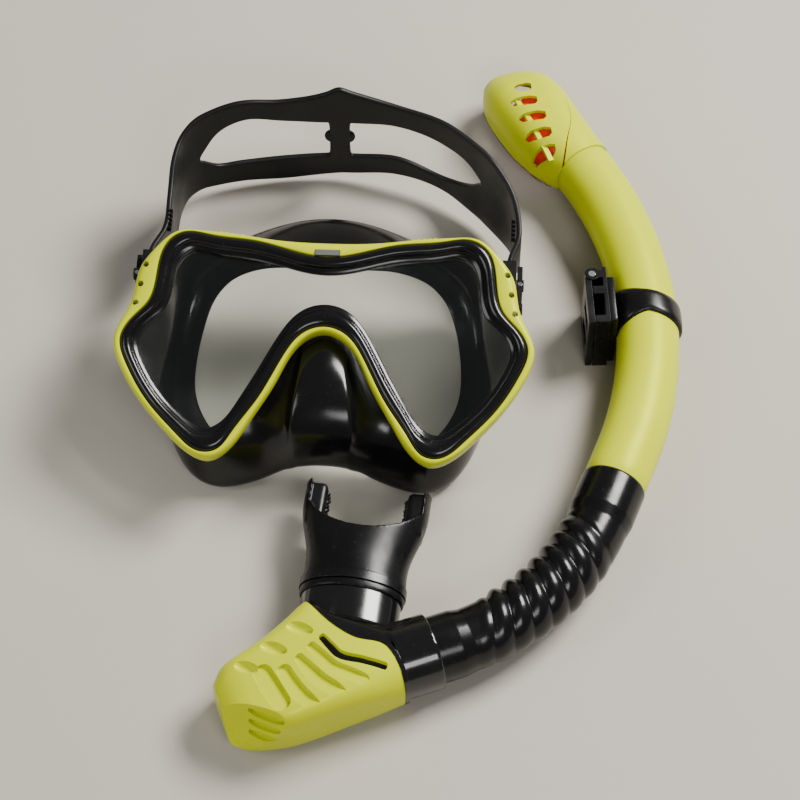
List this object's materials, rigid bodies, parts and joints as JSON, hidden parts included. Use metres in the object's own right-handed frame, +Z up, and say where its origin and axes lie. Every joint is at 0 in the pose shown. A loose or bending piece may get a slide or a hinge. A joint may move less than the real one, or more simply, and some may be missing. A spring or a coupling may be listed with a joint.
{
  "type": "diving mask and snorkel set",
  "caption": "Half mask with tempered lens, silicone skirt, nose pocket and split strap, beside a dry-top snorkel with flexible hose, purge chamber and mouthpiece.",
  "frame": {"origin": "on the floor, under the middle of the whole laid-out set", "axes": "+Z up from the floor; +Y from the snorkel's chamber towards its dry top and from the mask's nose towards its forehead; +X across the mask towards the snorkel's barrel"},
  "size_m": [0.2469, 0.3469, 0.0734],
  "materials": {
    "ring_black": "polished black, slightly pebbled by moulding",
    "bezel_yellow": "satin neon lemon",
    "tab_grey": "satin grey",
    "lens_glass": "clear tempered glass, faint green edge",
    "skirt_silicone": "glossy black silicone",
    "strap_silicone": "satin black silicone",
    "buckle_black": "satin black, fine moulding grain",
    "pin_steel": "turned steel",
    "barrel_yellow": "satin neon lemon",
    "hose_black": "glossy black, ribbed",
    "keeper_black": "satin black",
    "top_yellow": "satin neon lemon",
    "top_clear": "smoky clear shell",
    "float_orange": "gloss orange-red",
    "seal_silicone": "translucent silicone",
    "cover_yellow": "satin neon lemon",
    "chamber_black": "polished black",
    "mouth_silicone": "glossy black silicone"
  },
  "bodies": {
    "mask": {"lens_retaining_ring": "ring_black", "frame_bezel": "bezel_yellow", "frame_lock_tab": "tab_grey", "mask_lens": "lens_glass", "mask_skirt": "skirt_silicone", "left_pivot_stud": "pin_steel", "right_pivot_stud": "pin_steel"},
    "strap": {"head_strap": "strap_silicone", "left_buckle_body": "buckle_black", "right_buckle_body": "buckle_black", "left_strap_roller": "buckle_black", "right_strap_roller": "buckle_black", "left_lever_pin": "pin_steel", "right_lever_pin": "pin_steel"},
    "left_lever": {"left_release_lever": "buckle_black"},
    "right_lever": {"right_release_lever": "buckle_black"},
    "snorkel_upper": {"snorkel_barrel": "barrel_yellow", "barrel_coupling": "chamber_black", "flex_hose": "hose_black", "dry_top_base": "top_yellow", "splash_guard": "top_yellow", "clear_back_cover": "top_clear", "float_guide_rod": "pin_steel"},
    "keeper": {"keeper_ring": "keeper_black", "clip_base": "keeper_black", "gate_pin": "pin_steel"},
    "gate": {"clip_gate": "keeper_black"},
    "float": {"valve_float": "float_orange", "float_seal": "seal_silicone"},
    "snorkel_lower": {"lower_chamber": "chamber_black", "purge_cover": "cover_yellow", "cover_edge_seal": "chamber_black", "purge_valve_seat": "chamber_black", "mouthpiece": "mouth_silicone", "mouthpiece_band": "keeper_black"},
    "flap": {"purge_valve_flap": "seal_silicone"}
  },
  "joints": [
    {"name": "strap_swing", "type": "hinge", "parent": "mask", "child": "strap", "pos_m": [-0.03305, 0.02519, 0.04015], "axis": [0.9993, -0.0384, 0], "range_deg": [-90, 45]},
    {"name": "left_lever_press", "type": "hinge", "parent": "strap", "child": "left_lever", "pos_m": [-0.1154, 0.03595, 0.04015], "axis": [0, 0, 1], "range_deg": [0, 25], "stiffness_Nm_per_rad": 0.02},
    {"name": "right_lever_press", "type": "hinge", "parent": "strap", "child": "right_lever", "pos_m": [0.04988, 0.02961, 0.04015], "axis": [0, 0, -1], "range_deg": [0, 25], "stiffness_Nm_per_rad": 0.02},
    {"name": "snorkel_lift", "type": "slide", "parent": "mask", "child": "snorkel_upper", "axis": [0, 0, 1], "range_m": [0, 0.15]},
    {"name": "keeper_slide", "type": "hinge", "parent": "snorkel_upper", "child": "keeper", "pos_m": [-0.0666, 0.0272, 0.017], "axis": [0, 0, 1], "range_deg": [-12, 12]},
    {"name": "gate_swing", "type": "hinge", "parent": "keeper", "child": "gate", "pos_m": [0.08237, 0.04658, 0.017], "axis": [0, 0, -1], "range_deg": [0, 75]},
    {"name": "float_slide", "type": "slide", "parent": "snorkel_upper", "child": "float", "axis": [-0.5255, 0.8508, 0], "range_m": [0, 0.006]},
    {"name": "hose_bend", "type": "hinge", "parent": "snorkel_upper", "child": "snorkel_lower", "pos_m": [0.05783, -0.10471, 0.017], "axis": [0, 0, 1], "range_deg": [-5, 25], "stiffness_Nm_per_rad": 0.3, "deforming": ["flex_hose"]},
    {"name": "purge_flap_lift", "type": "slide", "parent": "snorkel_lower", "child": "flap", "axis": [-0.9415, -0.3371, 0], "range_m": [0, 0.0015], "stiffness_N_per_m": 20}
  ]
}
